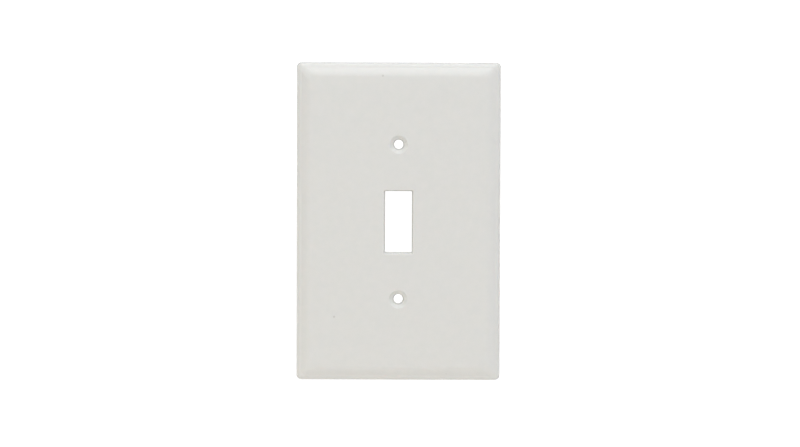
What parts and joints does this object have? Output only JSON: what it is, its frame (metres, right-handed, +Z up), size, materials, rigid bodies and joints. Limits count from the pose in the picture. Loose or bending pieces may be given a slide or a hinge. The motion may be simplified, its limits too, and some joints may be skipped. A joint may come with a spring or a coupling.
{
  "type": "toggle switch wall plate",
  "caption": "Flat rectangular cover with a bevelled edge, a slot for a toggle lever, countersunk screw holes, a ribbed hollow back and its mounting screws clipped behind it.",
  "frame": {"origin": "middle of the plate in the plane of the wall, where the back of its rim rests", "axes": "+Z up the plate's long side, +X to the right seen from the front, +Y into the wall; the front faces -Y"},
  "size_m": [0.0794, 0.0088, 0.124],
  "materials": {
    "white_nylon": "smooth moulded white, low sheen",
    "screw": "zinc-plated shank, head painted to match the plate"
  },
  "bodies": {
    "plate": {"wall_plate": "white_nylon"},
    "left_screw": {"mounting_screw_left": "screw"},
    "right_screw": {"mounting_screw_right": "screw"}
  },
  "joints": [
    {"name": "left_screw_pull", "type": "slide", "parent": "plate", "child": "left_screw", "axis": [0, 1, 0], "range_m": [0, 0.015]},
    {"name": "right_screw_pull", "type": "slide", "parent": "plate", "child": "right_screw", "axis": [0, 1, 0], "range_m": [0, 0.015]}
  ]
}
